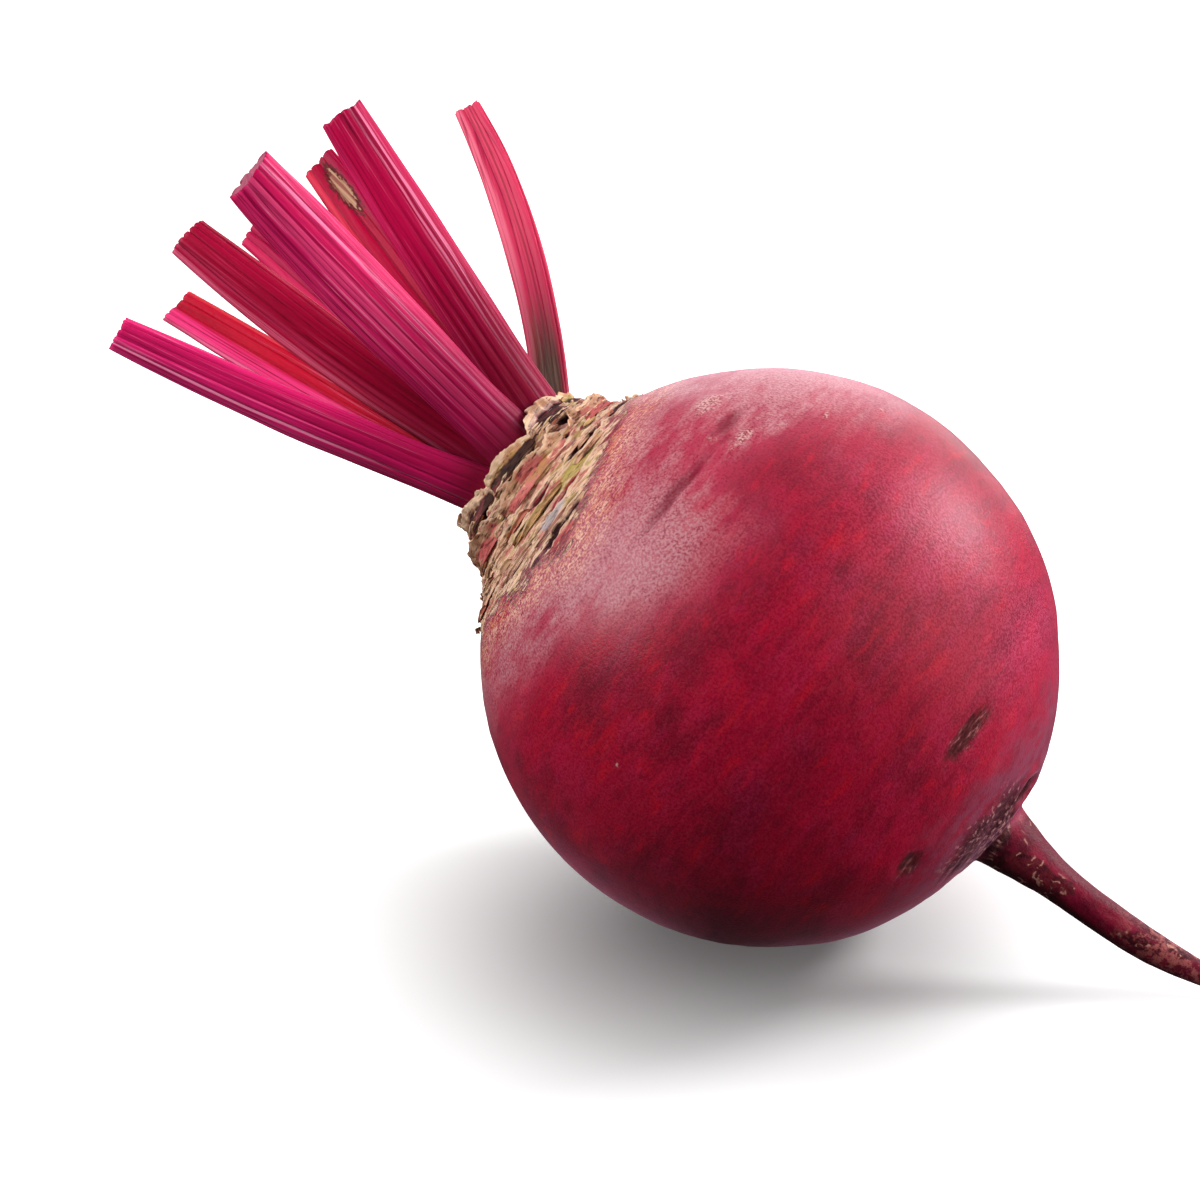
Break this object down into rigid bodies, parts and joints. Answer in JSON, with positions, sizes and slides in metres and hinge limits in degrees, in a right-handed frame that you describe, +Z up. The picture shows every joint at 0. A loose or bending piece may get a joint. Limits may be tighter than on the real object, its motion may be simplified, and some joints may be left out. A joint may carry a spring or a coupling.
{
  "type": "beetroot",
  "caption": "Whole round beetroot lying on its side, with a corky crown, short cut leaf stalks and a long bent taproot; it rests on a small flat spot.",
  "frame": {"origin": "centre of the flat spot that the bulb rests on, at floor height", "axes": "+Z up; the root's axis lies in the XZ plane, with the taproot towards +X and down and the crown and leaf stalks towards -X and up"},
  "size_m": [0.1938, 0.08, 0.1105],
  "materials": {
    "root_skin": "thin leathery skin, dark wine red with a soft sheen, tan and corky around the crown",
    "leaf_stalk": "fresh crimson stalk with lighter ribs, semi-gloss",
    "heart_leaf": "young folded leaf, dark red with a green tinge",
    "dried_leaf": "dry papery and corky, tan to brown"
  },
  "bodies": {
    "root": {"root": "root_skin", "leaf_stalk_1": "leaf_stalk", "leaf_stalk_2": "leaf_stalk", "leaf_stalk_3": "leaf_stalk", "leaf_stalk_4": "leaf_stalk", "leaf_stalk_5": "leaf_stalk", "leaf_stalk_6": "leaf_stalk", "leaf_stalk_7": "leaf_stalk", "leaf_stalk_8": "leaf_stalk", "heart_leaf_1": "heart_leaf", "heart_leaf_2": "heart_leaf", "rim_leaf_base_1": "dried_leaf", "rim_leaf_base_2": "dried_leaf", "rim_leaf_base_3": "dried_leaf", "rim_leaf_base_4": "dried_leaf", "rim_leaf_base_5": "dried_leaf", "rim_leaf_base_6": "dried_leaf", "rim_leaf_base_7": "dried_leaf", "rim_leaf_base_8": "dried_leaf", "neck_leaf_base_1": "dried_leaf", "neck_leaf_base_2": "dried_leaf", "neck_leaf_base_3": "dried_leaf", "neck_leaf_base_4": "dried_leaf", "neck_leaf_base_5": "dried_leaf", "neck_leaf_base_6": "dried_leaf"}
  },
  "joints": []
}
